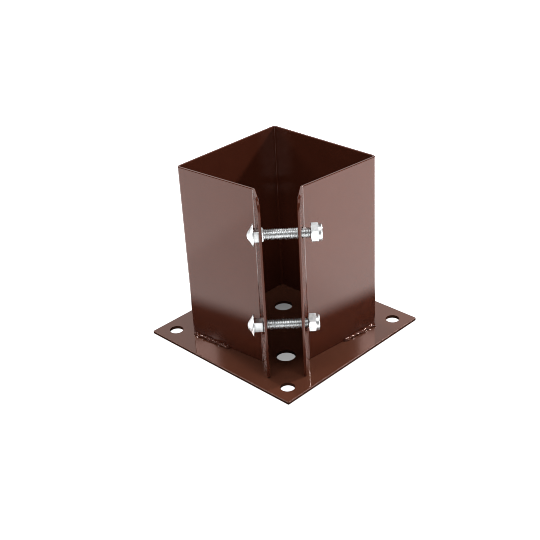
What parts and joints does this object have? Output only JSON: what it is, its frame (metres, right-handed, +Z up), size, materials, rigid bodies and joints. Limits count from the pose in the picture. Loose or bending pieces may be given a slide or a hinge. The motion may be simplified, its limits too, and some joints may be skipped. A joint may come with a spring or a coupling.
{
  "type": "timber post base",
  "caption": "Bolt-down base for a square timber post: a folded sheet-steel collar welded to a square plate and drawn tight at one open corner by coach bolts with lock nuts.",
  "frame": {"origin": "Centre of the plate's underside, which is the foundation's surface.", "axes": "+Z is up the post. X and Y run along the plate's sides. The collar's open corner, with the bolted flanges, looks towards +X -Y."},
  "size_m": [0.15, 0.15, 0.1465],
  "materials": {
    "paint": "gloss",
    "zinc": "satin",
    "nylon": "satin"
  },
  "bodies": {
    "root": {"base_plate": "paint", "post_collar": "paint", "weld_front_left": "paint", "weld_front_right": "paint", "weld_rear_left": "paint", "weld_rear_right": "paint", "upper_bolt": "zinc", "lower_bolt": "zinc", "upper_nut": "zinc", "lower_nut": "zinc", "upper_nut_ring": "nylon", "lower_nut_ring": "nylon"}
  },
  "joints": []
}
